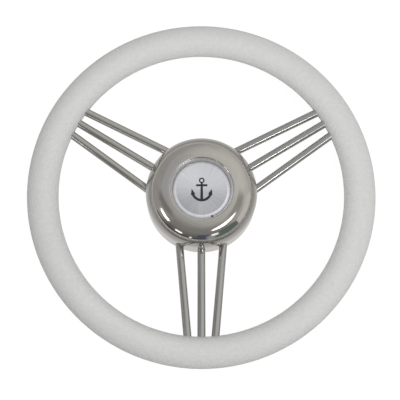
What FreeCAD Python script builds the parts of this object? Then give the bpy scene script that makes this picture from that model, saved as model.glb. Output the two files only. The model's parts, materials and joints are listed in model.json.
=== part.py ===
"""Boat steering wheel, 350 mm over the grip, with three spokes of three bars each.

The origin is on the shaft axis at the boss's back face. +Z runs along the shaft towards the driver,
and the bottom spoke points along -Y. Lengths are in millimetres and angles in degrees.
"""
import FreeCAD, Part
import math
import os

import Sketcher

# Driving sizes: alias, value and meaning
SIZES = (
    ("rim_diameter", 350.0, "outer diameter over the grip"),
    ("grip_diameter", 31.4, "thickness of the moulded grip"),
    ("ring_bar_diameter", 10.0, "bar of the steel ring inside the grip"),
    ("rim_height", 36.0, "rim plane above the boss's back face"),
    ("bar_diameter", 8.0, "spoke bars"),
    ("first_spoke_angle", 30.0, "right spoke, counter-clockwise from +X"),
    ("bar_spread_at_hub", 21.6, "side bar to spoke middle, at the cover wall"),
    ("bar_spread_at_rim", 12.4, "side bar to spoke middle, at the ring"),
    ("bar_height_at_hub", 23.8, "bar axis above the boss's back face, at the cover wall"),
    ("bar_rise_at_rim", 1.5, "bar axis above the ring's axis"),
    ("bar_end_setback", 2.0, "coped bar end short of the ring's axis"),
    ("socket_depth", 14.0, "middle socket, from the carrier's rim"),
    ("socket_clearance", 0.1, "round a bar in its socket"),
    ("carrier_radius", 48.0, "ring that holds the bars' inner ends"),
    ("carrier_back", 14.0, "carrier's back face above the boss's back face"),
    ("carrier_thickness", 16.0, "carrier along the shaft axis"),
    ("carrier_chamfer", 1.2, "carrier's outer edges"),
    ("taper_large_diameter", 19.05, "shaft bore at the boss's back face"),
    ("taper_run", 12.0, "length over which the bore loses 1 in diameter"),
    ("taper_length", 32.0, "shaft bore, back face to nut seat"),
    ("key_width", 4.76, "keyway"),
    ("key_depth", 2.4, "keyway beyond the bore's large end"),
    ("boss_radius", 19.5, "barrel of the boss"),
    ("spigot_radius", 22.0, "part of the boss inside the carrier"),
    ("spigot_clearance", 0.05, "round the spigot"),
    ("boss_flange_radius", 27.0, "flange in front of the carrier"),
    ("boss_flange_thickness", 3.0, "flange in front of the carrier"),
    ("boss_chamfer", 0.8, "boss's outer edges"),
    ("nut_seat_radius", 14.0, "recess for the shaft nut's washer"),
    ("nut_seat_depth", 4.0, "recess for the shaft nut's washer"),
    ("cover_radius", 56.0, "outside of the hub cover"),
    ("cover_wall", 1.5, "sheet of the hub cover"),
    ("cover_back", 6.0, "cover's back edge above the boss's back face"),
    ("cover_front", 60.4, "top of the cover's lip above the boss's back face"),
    ("shoulder_radius", 24.8, "cover's quarter-round shoulder"),
    ("lip_round", 1.1, "outer bend of the lip"),
    ("recess_depth", 6.4, "badge face below the lip"),
    ("recess_taper", 2.7, "radius that the recess loses from the lip to the badge's edge"),
    ("ledge_width", 4.5, "cover's ledge under the badge, round the opening over the shaft nut"),
    ("bar_hole_clearance", 0.3, "round a bar in the cover wall"),
    ("badge_thickness", 2.4, "badge disc"),
    ("badge_edge_width", 3.2, "badge's rounded front edge, inwards"),
    ("badge_edge_drop", 1.2, "badge's rounded front edge, downwards"),
    ("badge_clearance", 0.15, "badge to the recess wall"),
    ("pry_notch_width", 2.2, "notch in the badge's edge for a thin blade"),
    ("pry_notch_depth", 0.9, "notch, from the badge's edge inwards"),
    ("pry_notch_angle", 291.4, "notch, counter-clockwise from +X"),
    ("cap_flange_thickness", 1.8, "cap under the badge"),
    ("cap_flange_inset", 1.2, "cap's edge inside the badge's edge"),
    ("cap_skirt_length", 8.2, "cap below the ledge's face"),
    ("cap_skirt_wall", 2.2, "cap skirt"),
    ("cap_skirt_clearance", 0.3, "skirt in the ledge's opening"),
    ("o_ring_section", 2.4, "rubber ring's cord"),
    ("o_ring_bite", 1.1, "rubber ring sunk in the skirt"),
    ("o_ring_play", 0.05, "rubber ring to the ledge and in its groove"),
    ("rear_plate", 2.5, "rear cover's floor"),
    ("rear_rim_height", 6.0, "rear cover's rim from its back face"),
    ("rear_collar_height", 6.5, "rear cover's collar from its back face"),
    ("rear_wall", 2.0, "rear cover's rim and collar"),
    ("rear_clearance", 0.25, "rear cover to hub cover and boss"),
    ("rib_thickness", 1.8, "rear cover's ribs"),
    ("rib_height", 3.0, "rear cover's ribs above its floor"),
    ("post_radius", 5.0, "rear cover's posts"),
    ("screw_circle_radius", 36.0, "rear cover's screws"),
    ("screw_diameter", 4.0, "rear cover's screws"),
    ("screw_length", 16.0, "rear cover's screws, head face to tip"),
    ("screw_head_diameter", 8.0, "countersunk heads"),
    ("screw_clearance", 0.2, "round a screw in its post"),
    ("thread_clearance", 0.03, "round a screw in the carrier"),
    ("thread_depth", 11.0, "threaded holes in the carrier"),
    ("driver_width", 2.5, "hexagon socket, across flats"),
    ("driver_depth", 1.5, "hexagon socket"),
)
SPOKES = ("right", "left", "bottom")
BAR_SIDES = (-1, 0, 1)
RIBS = 6
NEAR = 0.001

# Values that follow from the driving sizes
RING_RADIUS = "((Sizes.rim_diameter - Sizes.grip_diameter) / 2)"
CARRIER_FRONT = "(Sizes.carrier_back + Sizes.carrier_thickness)"
BOSS_LENGTH = "(Sizes.taper_length + Sizes.nut_seat_depth)"
BORE_RADIUS = "(Sizes.taper_large_diameter / 2)"
SHOULDER_START = "(Sizes.cover_front - Sizes.shoulder_radius)"
LIP_RADIUS = "(Sizes.cover_radius - Sizes.shoulder_radius)"
LEDGE_RADIUS = f"({LIP_RADIUS} - Sizes.recess_taper)"
BADGE_FACE = "(Sizes.cover_front - Sizes.recess_depth)"
BADGE_BACK = f"({BADGE_FACE} - Sizes.badge_thickness)"
LEDGE_FACE = f"({BADGE_BACK} - Sizes.cap_flange_thickness)"
LEDGE_OPENING = f"({LEDGE_RADIUS} - Sizes.ledge_width)"
RECESS_FOOT = f"({BADGE_FACE} - Sizes.badge_edge_drop)"
BADGE_RADIUS = f"({LEDGE_RADIUS} - Sizes.badge_clearance)"
CAP_RADIUS = f"({BADGE_RADIUS} - Sizes.cap_flange_inset)"
SKIRT_RADIUS = f"({LEDGE_OPENING} - Sizes.cap_skirt_clearance)"
GROOVE_RADIUS = f"({SKIRT_RADIUS} - Sizes.o_ring_bite)"
O_RING_HEIGHT = f"({LEDGE_FACE} - Sizes.cover_wall - Sizes.o_ring_play - Sizes.o_ring_section / 2)"
REAR_RADIUS = "(Sizes.cover_radius - Sizes.cover_wall - Sizes.rear_clearance)"
COLLAR_BORE = "(Sizes.boss_radius + Sizes.rear_clearance)"
REAR_FLOOR = "(Sizes.cover_back + Sizes.rear_plate)"
SCREW_ANGLE = "((Sizes.first_spoke_angle + 60) * 1 deg)"


def amount(owner, expression):
    """The number that an expression gives now."""
    found = owner.evalExpression(expression)
    return float(getattr(found, "Value", found))


def make_sheet(document):
    """The spreadsheet of driving sizes."""
    sheet = document.addObject("Spreadsheet::Sheet", "Sizes")
    for row, (alias, value, meaning) in enumerate(SIZES, start=1):
        sheet.set(f"A{row}", meaning)
        sheet.set(f"B{row}", str(value))
        sheet.setAlias(f"B{row}", alias)
    document.recompute()


def new_body(document, label):
    """An empty body with this label."""
    body = document.addObject("PartDesign::Body", label)
    body.Label = label
    return body


def new_sketch(body, name, role, height="0"):
    """A sketch on one of the body's origin planes, lifted by a height."""
    sketch = body.newObject("Sketcher::SketchObject", name)
    plane = next(part for part in body.Origin.OriginFeatures if part.Role == role)
    sketch.AttachmentSupport = (plane, [""])
    sketch.MapMode = "FlatFace"
    sketch.setExpression("AttachmentOffset.Base.z", height)
    return sketch


def hold_point(sketch, edge, point, across, up):
    """Ties a point of the sketch to its distances from the sketch's origin."""
    for kind, expression in (("DistanceX", across), ("DistanceY", up)):
        start = amount(sketch, expression)
        index = sketch.addConstraint(Sketcher.Constraint(kind, -1, 1, edge, point, start))
        sketch.setExpression(f"Constraints[{index}]", expression)


def draw_outline(sketch, corners, arcs=None):
    """A closed outline through the corners, with some edges as arcs round a centre."""
    arcs = arcs or {}
    places = [FreeCAD.Vector(amount(sketch, across), amount(sketch, up), 0) for across, up in corners]
    ends = []
    for index, start in enumerate(places):
        stop = places[(index + 1) % len(places)]
        if index not in arcs:
            sketch.addGeometry(Part.LineSegment(start, stop), False)
            ends.append((1, 2))
            continue
        centre = FreeCAD.Vector(*(amount(sketch, expression) for expression in arcs[index]), 0)
        turns_left = (start - centre).cross(stop - centre).z > 0
        first, last = (start, stop) if turns_left else (stop, start)
        circle = Part.Circle(centre, FreeCAD.Vector(0, 0, 1), (start - centre).Length)
        angles = [math.atan2(place.y - centre.y, place.x - centre.x) for place in (first, last)]
        sketch.addGeometry(Part.ArcOfCircle(circle, *angles), False)
        ends.append((1, 2) if turns_left else (2, 1))
    for index, (across, up) in enumerate(corners):
        following = (index + 1) % len(corners)
        join = Sketcher.Constraint("Coincident", index, ends[index][1], following, ends[following][0])
        sketch.addConstraint(join)
        hold_point(sketch, index, ends[index][0], across, up)
    for index, (across, up) in arcs.items():
        number = sketch.addConstraint(Sketcher.Constraint("DistanceX", -1, 1, index, 3, amount(sketch, across)))
        sketch.setExpression(f"Constraints[{number}]", across)


def turned_corner(out, aside, angle):
    """A corner at a distance along a direction and to its left, as expressions across and up."""
    return (f"{out} * cos({angle}) - {aside} * sin({angle})",
            f"{out} * sin({angle}) + {aside} * cos({angle})")


def draw_circle(sketch, across, up, radius):
    """A circle whose centre and radius follow expressions."""
    centre = FreeCAD.Vector(amount(sketch, across), amount(sketch, up), 0)
    circle = Part.Circle(centre, FreeCAD.Vector(0, 0, 1), amount(sketch, radius))
    edge = sketch.addGeometry(circle, False)
    hold_point(sketch, edge, 3, across, up)
    index = sketch.addConstraint(Sketcher.Constraint("Radius", edge, amount(sketch, radius)))
    sketch.setExpression(f"Constraints[{index}]", radius)


def turn(body, name, corners, arcs=None, kind="PartDesign::Revolution"):
    """Turns an outline of (radius, height) corners round the shaft axis, or grooves with it."""
    sketch = new_sketch(body, f"{name}_outline", "XZ_Plane")
    draw_outline(sketch, corners, arcs)
    feature = body.newObject(kind, name)
    feature.Profile = sketch
    feature.ReferenceAxis = (sketch, ["V_Axis"])
    feature.Angle = 360
    body.Document.recompute()
    return feature


def raise_or_sink(body, name, sketch, length, kind="PartDesign::Pad"):
    """Pads or pockets a sketch upwards by a length."""
    feature = body.newObject(kind, name)
    feature.Profile = sketch
    feature.setExpression("Length", length)
    feature.Reversed = kind == "PartDesign::Pocket"
    body.Document.recompute()
    return feature


def repeat_round(body, name, feature, sketch, count):
    """Repeats a feature evenly round the shaft axis."""
    pattern = body.newObject("PartDesign::PolarPattern", name)
    pattern.Originals = [feature]
    pattern.Axis = (sketch, ["N_Axis"])
    pattern.Angle = 360
    pattern.Occurrences = count
    body.Tip = pattern
    body.Document.recompute()
    return pattern


def ring_edges(feature, radius, height):
    """Names of a feature's circular edges of this radius, at this height."""
    wanted = (amount(feature, radius), amount(feature, height))
    names = []
    for number, edge in enumerate(feature.Shape.Edges, start=1):
        if edge.Degenerated or not isinstance(edge.Curve, Part.Circle):
            continue
        found = (edge.Curve.Radius, edge.Curve.Center.z)
        on_axis = math.hypot(edge.Curve.Center.x, edge.Curve.Center.y) < NEAR
        if on_axis and all(abs(one - other) < NEAR for one, other in zip(found, wanted)):
            names.append(f"Edge{number}")
    if not names:
        raise RuntimeError(f"{feature.Name} has no round edge at {wanted}")
    return names


def dress(body, name, feature, places, kind, size):
    """Rounds or chamfers the circular edges at the (radius, height) places."""
    edges = [edge for radius, height in places for edge in ring_edges(feature, radius, height)]
    dressed = body.newObject(kind, name)
    dressed.Base = (feature, edges)
    dressed.setExpression("Radius" if kind == "PartDesign::Fillet" else "Size", size)
    body.Document.recompute()
    return dressed


def check_cut(before, after):
    """Makes sure that a cut took something away."""
    if after.Shape.Volume >= before.Shape.Volume - NEAR:
        raise RuntimeError(f"{after.Name} cuts nothing")


def cut(document, label, base, tool):
    """What is left of base after tool is taken away."""
    result = document.addObject("Part::Cut", label)
    result.Label = label
    result.Base = base
    result.Tool = tool
    document.recompute()
    check_cut(base, result)
    return result


def fuse(document, name, pieces):
    """Several pieces as one tool."""
    result = document.addObject("Part::MultiFuse", name)
    result.Shapes = pieces
    document.recompute()
    return result


def torus(document, label, radius, section_radius, height):
    """A round bar bent to a circle about the shaft axis."""
    ring = document.addObject("Part::Torus", label)
    ring.Label = label
    ring.setExpression("Radius1", radius)
    ring.setExpression("Radius2", section_radius)
    ring.setExpression("Placement.Base.z", height)
    document.recompute()
    return ring


def bar(document, name, spoke, side, radius):
    """A straight round bar along one bar of a spoke, from its socket's floor to the ring."""
    angle = f"((Sizes.first_spoke_angle + {spoke * 360 / len(SPOKES)}) * 1 deg)"
    spread_at_hub = f"({side} * Sizes.bar_spread_at_hub)"
    spread_at_rim = f"({side} * Sizes.bar_spread_at_rim)"
    reach = f"cath({RING_RADIUS}; {spread_at_rim})"
    run = f"({reach} - Sizes.cover_radius)"
    drift = f"({spread_at_rim} - {spread_at_hub})"
    climb = "(Sizes.rim_height + Sizes.bar_rise_at_rim - Sizes.bar_height_at_hub)"
    inner = "(Sizes.carrier_radius - Sizes.socket_depth)"
    share = f"(({inner} - Sizes.cover_radius) / {run})"
    aside = f"({spread_at_hub} + {share} * {drift})"
    up = f"(Sizes.bar_height_at_hub + {share} * {climb})"
    level = f"hypot({run}; {drift})"
    across_x = f"({inner} * cos({angle}) - {aside} * sin({angle}))"
    across_y = f"({inner} * sin({angle}) + {aside} * cos({angle}))"
    heading = f"({angle} + atan2({drift}; {run}))"
    tilt = f"(90 deg - atan2({climb}; {level}))"
    length = f"(({reach} - Sizes.bar_end_setback - {inner}) / {run} * hypot({level}; {climb}))"
    piece = document.addObject("Part::Cylinder", name)
    piece.setExpression("Radius", radius)
    piece.setExpression("Height", length)
    place = f"placement(vector({across_x}; {across_y}; {up}); rotation({heading}; {tilt}; 0 deg))"
    piece.setExpression("Placement", place)
    return piece


def bar_tool(document, name, radius):
    """All nine bars at a larger radius, to cut their holes."""
    pieces = []
    for spoke, spoke_name in enumerate(SPOKES):
        for number, side in enumerate(BAR_SIDES, start=1):
            pieces.append(bar(document, f"{name}_{spoke_name}_{number}", spoke, side, radius))
    return fuse(document, name, pieces)


def make_spoke_bars(document, ring):
    """Nine bars, each coped to sit on the ring."""
    bars = []
    for spoke, spoke_name in enumerate(SPOKES):
        for number, side in enumerate(BAR_SIDES, start=1):
            label = f"{spoke_name}_spoke_bar_{number}"
            stock = bar(document, f"{label}_stock", spoke, side, "Sizes.bar_diameter / 2")
            document.recompute()
            bars.append(cut(document, label, stock, ring))
    return bars


def make_rim_grip(document, ring, bars):
    """The grip, moulded round the ring and the bars' outer ends."""
    blank = torus(document, "rim_grip_blank", RING_RADIUS, "Sizes.grip_diameter / 2", "Sizes.rim_height")
    inserts = fuse(document, "rim_grip_inserts", [ring, *bars])
    return cut(document, "rim_grip", blank, inserts)


def make_spoke_carrier(document):
    """A turned ring with nine sloping sockets and three threaded holes."""
    body = new_body(document, "spoke_carrier_turned")
    bore = "(Sizes.spigot_radius + Sizes.spigot_clearance)"
    faces = ("Sizes.carrier_back", CARRIER_FRONT)
    corners = [(bore, faces[0]), ("Sizes.carrier_radius", faces[0]),
               ("Sizes.carrier_radius", faces[1]), (bore, faces[1])]
    blank = turn(body, "carrier_blank", corners)
    rims = [("Sizes.carrier_radius", face) for face in faces]
    dressed = dress(body, "carrier_edges", blank, rims, "PartDesign::Chamfer", "Sizes.carrier_chamfer")
    sketch = new_sketch(body, "carrier_thread_place", "XY_Plane", "Sizes.carrier_back")
    draw_circle(sketch, f"Sizes.screw_circle_radius * cos({SCREW_ANGLE})",
                f"Sizes.screw_circle_radius * sin({SCREW_ANGLE})",
                "Sizes.screw_diameter / 2 + Sizes.thread_clearance")
    hole = raise_or_sink(body, "carrier_thread", sketch, "Sizes.thread_depth", "PartDesign::Pocket")
    check_cut(dressed, hole)
    repeat_round(body, "carrier_threads", hole, sketch, len(SPOKES))
    sockets = bar_tool(document, "socket", "Sizes.bar_diameter / 2 + Sizes.socket_clearance")
    return cut(document, "spoke_carrier", body, sockets)


def make_hub_boss(document):
    """A turned boss with a tapered, keyed shaft bore and a seat for the shaft nut."""
    body = new_body(document, "hub_boss")
    flange_front = f"({CARRIER_FRONT} + Sizes.boss_flange_thickness)"
    corners = [("0", "0"), ("Sizes.boss_radius", "0"), ("Sizes.boss_radius", "Sizes.carrier_back"),
               ("Sizes.spigot_radius", "Sizes.carrier_back"), ("Sizes.spigot_radius", CARRIER_FRONT),
               ("Sizes.boss_flange_radius", CARRIER_FRONT), ("Sizes.boss_flange_radius", flange_front),
               ("Sizes.boss_radius", flange_front), ("Sizes.boss_radius", BOSS_LENGTH), ("0", BOSS_LENGTH)]
    blank = turn(body, "boss_blank", corners)
    rims = [("Sizes.boss_radius", "0"), ("Sizes.boss_flange_radius", flange_front),
            ("Sizes.boss_radius", BOSS_LENGTH)]
    dressed = dress(body, "boss_edges", blank, rims, "PartDesign::Chamfer", "Sizes.boss_chamfer")
    small_end = f"({BORE_RADIUS} - Sizes.taper_length / Sizes.taper_run / 2)"
    bore = [("0", "0"), (BORE_RADIUS, "0"), (small_end, "Sizes.taper_length"),
            ("Sizes.nut_seat_radius", "Sizes.taper_length"), ("Sizes.nut_seat_radius", BOSS_LENGTH),
            ("0", BOSS_LENGTH)]
    bored = turn(body, "boss_bore", bore, kind="PartDesign::Groove")
    check_cut(dressed, bored)
    sketch = new_sketch(body, "boss_keyway_outline", "XY_Plane")
    top = f"({BORE_RADIUS} + Sizes.key_depth)"
    half = "(Sizes.key_width / 2)"
    draw_outline(sketch, [(f"-{half}", "0"), (half, "0"), (half, top), (f"-{half}", top)])
    keyway = raise_or_sink(body, "boss_keyway", sketch, "Sizes.taper_length", "PartDesign::Pocket")
    check_cut(bored, keyway)
    return body


def make_hub_cover(document):
    """A spun cover: wall, quarter-round shoulder, bent lip, tapered recess and ledge, with nine bar holes.

    The sheet is equally thick all over: the inner corners lie one wall away from the outer outline.
    """
    body = new_body(document, "hub_cover_spun")
    wall = "Sizes.cover_wall"
    inside = f"(Sizes.cover_radius - {wall})"
    taper = "Sizes.recess_taper"
    rise = f"(Sizes.cover_front - {RECESS_FOOT})"
    slant = f"hypot({taper}; {rise})"
    aside = f"({wall} - Sizes.shoulder_radius * {taper} / {slant})"
    along = f"cath(Sizes.shoulder_radius - {wall}; {aside})"
    under_lip = (f"({LIP_RADIUS} + ({taper} * {along} + {rise} * {aside}) / {slant})",
                 f"({SHOULDER_START} + ({rise} * {along} - {taper} * {aside}) / {slant})")
    under_foot = f"({RECESS_FOOT} - {wall} * ({slant} - {rise}) / {taper})"
    corners = [("Sizes.cover_radius", "Sizes.cover_back"), ("Sizes.cover_radius", SHOULDER_START),
               (LIP_RADIUS, "Sizes.cover_front"), (LEDGE_RADIUS, RECESS_FOOT), (LEDGE_RADIUS, LEDGE_FACE),
               (LEDGE_OPENING, LEDGE_FACE), (LEDGE_OPENING, f"({LEDGE_FACE} - {wall})"),
               (f"({LEDGE_RADIUS} + {wall})", f"({LEDGE_FACE} - {wall})"),
               (f"({LEDGE_RADIUS} + {wall})", under_foot), under_lip, (inside, SHOULDER_START),
               (inside, "Sizes.cover_back")]
    shoulder_centre = (LIP_RADIUS, SHOULDER_START)
    blank = turn(body, "cover_wall", corners, {1: shoulder_centre, 9: shoulder_centre})
    lip = [(LIP_RADIUS, "Sizes.cover_front")]
    dress(body, "cover_lip", blank, lip, "PartDesign::Fillet", "Sizes.lip_round")
    holes = bar_tool(document, "cover_hole", "Sizes.bar_diameter / 2 + Sizes.bar_hole_clearance")
    return cut(document, "hub_cover", body, holes)


def make_center_cap(document):
    """A moulded plug: a flat top on a hollow skirt, with a groove for the rubber ring."""
    body = new_body(document, "center_cap")
    skirt_inside = f"({SKIRT_RADIUS} - Sizes.cap_skirt_wall)"
    skirt_end = f"({LEDGE_FACE} - Sizes.cap_skirt_length)"
    half_groove = "(Sizes.o_ring_section / 2 + Sizes.o_ring_play)"
    groove_low = f"({O_RING_HEIGHT} - {half_groove})"
    groove_high = f"({O_RING_HEIGHT} + {half_groove})"
    corners = [("0", LEDGE_FACE), (skirt_inside, LEDGE_FACE), (skirt_inside, skirt_end),
               (SKIRT_RADIUS, skirt_end), (SKIRT_RADIUS, groove_low), (GROOVE_RADIUS, groove_low),
               (GROOVE_RADIUS, groove_high), (SKIRT_RADIUS, groove_high), (SKIRT_RADIUS, LEDGE_FACE),
               (CAP_RADIUS, LEDGE_FACE), (CAP_RADIUS, BADGE_BACK), ("0", BADGE_BACK)]
    turn(body, "cap_moulding", corners)
    return body


def make_cap_o_ring(document):
    """The rubber ring that holds the cap under the ledge."""
    radius = f"({GROOVE_RADIUS} + Sizes.o_ring_section / 2)"
    return torus(document, "cap_o_ring", radius, "Sizes.o_ring_section / 2", O_RING_HEIGHT)


def make_badge_disc(document):
    """A plain disc with a rounded front edge and a small notch to pry it out by."""
    body = new_body(document, "badge_disc")
    flat_radius = f"({BADGE_RADIUS} - Sizes.badge_edge_width)"
    edge_radius = "((pow(Sizes.badge_edge_width; 2) / Sizes.badge_edge_drop + Sizes.badge_edge_drop) / 2)"
    corners = [("0", BADGE_BACK), (BADGE_RADIUS, BADGE_BACK), (BADGE_RADIUS, RECESS_FOOT),
               (flat_radius, BADGE_FACE), ("0", BADGE_FACE)]
    blank = turn(body, "badge_blank", corners, {2: (flat_radius, f"({BADGE_FACE} - {edge_radius})")})
    notch_sketch = new_sketch(body, "badge_notch_outline", "XY_Plane", BADGE_BACK)
    floor = f"({BADGE_RADIUS} - Sizes.pry_notch_depth)"
    half = "(Sizes.pry_notch_width / 2)"
    corners = []
    for out, aside in ((floor, f"-{half}"), (LEDGE_RADIUS, f"-{half}"), (LEDGE_RADIUS, half), (floor, half)):
        corners.append(turned_corner(out, aside, "(Sizes.pry_notch_angle * 1 deg)"))
    draw_outline(notch_sketch, corners)
    notch = raise_or_sink(body, "badge_notch", notch_sketch, "Sizes.badge_thickness", "PartDesign::Pocket")
    check_cut(blank, notch)
    return body


def make_rear_cover(document):
    """A moulded plate with a rim, a collar round the boss, ribs, and posts for the screws."""
    body = new_body(document, "rear_cover_moulded")
    rim_top = "(Sizes.cover_back + Sizes.rear_rim_height)"
    collar_top = "(Sizes.cover_back + Sizes.rear_collar_height)"
    rim_inside = f"({REAR_RADIUS} - Sizes.rear_wall)"
    collar_outside = f"({COLLAR_BORE} + Sizes.rear_wall)"
    corners = [(COLLAR_BORE, "Sizes.cover_back"), (REAR_RADIUS, "Sizes.cover_back"), (REAR_RADIUS, rim_top),
               (rim_inside, rim_top), (rim_inside, REAR_FLOOR), (collar_outside, REAR_FLOOR),
               (collar_outside, collar_top), (COLLAR_BORE, collar_top)]
    turn(body, "rear_dish", corners)
    rib_sketch = new_sketch(body, "rear_rib_outline", "XY_Plane", REAR_FLOOR)
    half = "(Sizes.rib_thickness / 2)"
    start = f"({collar_outside} - Sizes.rear_wall / 2)"
    stop = f"({REAR_RADIUS} - Sizes.rear_wall / 2)"
    rib_corners = []
    for along, aside in ((start, f"-{half}"), (stop, f"-{half}"), (stop, half), (start, half)):
        rib_corners.append(turned_corner(along, aside, SCREW_ANGLE))
    draw_outline(rib_sketch, rib_corners)
    rib = raise_or_sink(body, "rear_rib", rib_sketch, "Sizes.rib_height")
    repeat_round(body, "rear_ribs", rib, rib_sketch, RIBS)
    post_sketch = new_sketch(body, "rear_post_outline", "XY_Plane", REAR_FLOOR)
    draw_circle(post_sketch, f"Sizes.screw_circle_radius * cos({SCREW_ANGLE})",
                f"Sizes.screw_circle_radius * sin({SCREW_ANGLE})", "Sizes.post_radius")
    post = raise_or_sink(body, "rear_post", post_sketch, f"Sizes.carrier_back - {REAR_FLOOR}")
    repeat_round(body, "rear_posts", post, post_sketch, len(SPOKES))
    drills = []
    for number in range(len(SPOKES)):
        drills.append(make_screw_body(document, f"rear_drill_{number + 1}", number, "Sizes.screw_clearance"))
    return cut(document, "rear_cover", body, fuse(document, "rear_drills", drills))


def make_screw_body(document, label, number, growth):
    """A countersunk screw in its place, or with growth the hole that clears it."""
    body = new_body(document, label)
    shank = f"(Sizes.screw_diameter / 2 + {growth})"
    head = f"(Sizes.screw_head_diameter / 2 + {growth})"
    corners = [("0", "0"), (head, "0"), (shank, f"({head} - {shank})"), (shank, "Sizes.screw_length"),
               ("0", "Sizes.screw_length")]
    turned = turn(body, f"{label}_turned", corners)
    if growth == "0":
        sketch = new_sketch(body, f"{label}_socket_outline", "XY_Plane")
        corner = "(Sizes.driver_width / 2 / cos(30 deg))"
        hexagon = [(f"{corner} * cos({step * 60} deg)", f"{corner} * sin({step * 60} deg)") for step in range(6)]
        draw_outline(sketch, hexagon)
        socket = raise_or_sink(body, f"{label}_socket", sketch, "Sizes.driver_depth", "PartDesign::Pocket")
        check_cut(turned, socket)
    angle = f"({SCREW_ANGLE} + {number * 360 / len(SPOKES)} deg)"
    place = (f"placement(vector(Sizes.screw_circle_radius * cos({angle}); "
             f"Sizes.screw_circle_radius * sin({angle}); Sizes.cover_back); rotation(0 deg; 0 deg; 0 deg))")
    body.setExpression("Placement", place)
    document.recompute()
    return body


def make_rear_cover_screws(document):
    """Three screws that hold the rear cover to the carrier."""
    screws = [make_screw_body(document, f"rear_cover_screw_{number + 1}", number, "0")
              for number in range(len(SPOKES))]
    group = document.addObject("Part::Compound", "rear_cover_screws")
    group.Label = "rear_cover_screws"
    group.Links = screws
    document.recompute()
    return group


def check_document(document, nodes):
    """Stops if an object failed, or if a sub-part is empty or faulty."""
    for item in document.Objects:
        if "Invalid" in item.State or "Error" in item.State:
            raise RuntimeError(f"{item.Name} failed: {item.State}")
    for node in nodes:
        if node.Shape.isNull() or not node.Shape.isValid() or not node.Shape.Solids:
            raise RuntimeError(f"{node.Label} is no valid solid")


def main():
    """Builds the wheel and writes one STEP file for each sub-part."""
    document = FreeCAD.newDocument("boat_steering_wheel")
    make_sheet(document)
    ring = torus(document, "rim_ring", RING_RADIUS, "Sizes.ring_bar_diameter / 2", "Sizes.rim_height")
    bars = make_spoke_bars(document, ring)
    nodes = [ring, *bars, make_rim_grip(document, ring, bars), make_spoke_carrier(document),
             make_hub_boss(document), make_hub_cover(document), make_center_cap(document),
             make_cap_o_ring(document), make_badge_disc(document), make_rear_cover(document),
             make_rear_cover_screws(document)]
    document.recompute()
    check_document(document, nodes)
    os.makedirs("parts", exist_ok=True)
    for node in nodes:
        node.Shape.exportStep(f"parts/{node.Label}.step")
        print(f"{node.Label}: {len(node.Shape.Solids)} solid, {node.Shape.Volume / 1000:.2f} cm3")


main()
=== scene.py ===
"""Boat steering wheel: finishes, centre emblem, stage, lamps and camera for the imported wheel."""

import json
import math

import bmesh
import bpy
from mathutils import Matrix, Vector


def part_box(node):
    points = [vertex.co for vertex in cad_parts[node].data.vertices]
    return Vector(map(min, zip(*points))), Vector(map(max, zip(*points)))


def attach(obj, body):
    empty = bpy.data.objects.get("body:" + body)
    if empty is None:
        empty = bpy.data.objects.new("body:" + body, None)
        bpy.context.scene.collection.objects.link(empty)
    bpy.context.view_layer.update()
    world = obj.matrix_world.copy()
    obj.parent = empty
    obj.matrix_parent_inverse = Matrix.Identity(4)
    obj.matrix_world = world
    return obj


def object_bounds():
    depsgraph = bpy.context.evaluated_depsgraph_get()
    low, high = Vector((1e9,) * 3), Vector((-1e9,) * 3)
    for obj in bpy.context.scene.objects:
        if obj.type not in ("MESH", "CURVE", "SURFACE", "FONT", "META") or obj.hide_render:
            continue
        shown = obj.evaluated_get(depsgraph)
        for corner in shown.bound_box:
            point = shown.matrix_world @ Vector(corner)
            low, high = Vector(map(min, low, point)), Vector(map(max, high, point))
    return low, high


bl_info = {
    "name": "Boat wheel finishing",
    "version": (1, 0, 0),
    "blender": (4, 5, 0),
    "location": "3D View > Sidebar > Boat wheel",
    "description": "Finishes a boat steering wheel and sets its stage, lamps and camera",
    "category": "Object",
}

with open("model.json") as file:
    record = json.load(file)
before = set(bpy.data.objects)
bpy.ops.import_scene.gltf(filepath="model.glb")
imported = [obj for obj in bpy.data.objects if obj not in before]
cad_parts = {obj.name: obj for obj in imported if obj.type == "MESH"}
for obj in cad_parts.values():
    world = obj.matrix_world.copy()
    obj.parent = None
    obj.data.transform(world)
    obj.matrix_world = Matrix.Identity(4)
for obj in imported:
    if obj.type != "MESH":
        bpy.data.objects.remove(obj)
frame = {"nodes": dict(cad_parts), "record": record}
CAD_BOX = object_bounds()

# The wheel
BODY = "root"
SPOKE_HEADINGS = {"right": math.radians(30), "left": math.radians(150), "bottom": math.radians(270)}
GRIP_MIDDLE = (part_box("rim_grip")[0].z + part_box("rim_grip")[1].z) / 2
SEAM_HALF_WIDTH = 0.00035

# The centre disc, whose rounded edge begins where its flat face ends, and the emblem on it
DISC_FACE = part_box("badge_disc")[1].z
DISC_EDGE_WIDTH = 0.0032
DISC_EDGE_BLEND = 0.0006
FLAT_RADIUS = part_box("badge_disc")[1].x - DISC_EDGE_WIDTH
EMBLEM_UNITS = 24.0
EMBLEM_SINK = 0.0001

# The stage, with azimuths and turns in degrees
WHITE = (1.0, 1.0, 1.0, 1.0)
WARM_WHITE = (1.0, 0.99, 0.96, 1.0)
COOL_WHITE = (0.97, 0.98, 1.0, 1.0)
FLOOR_HALF_WIDTH = 6.0
FLOOR_GAP = 0.0004
FLOOR_GLOW = 1.09
FLOOR_GLOW_SHARE = 0.86
GROUND_CARD_GAP = 0.0002
STUDIO_RADIUS = 2.6
LIT_SIDE = (38, 46)
NEAR_SIDE_AZIMUTH = 264
NEAR_SIDE_LEVEL = 0.07
STRONG_GLOW = 3.0
CAMERA_PLACE = (-0.01207, -0.21208, 1.11937)
CAMERA_TURN = (10.711, -0.565, 0.036)

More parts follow.
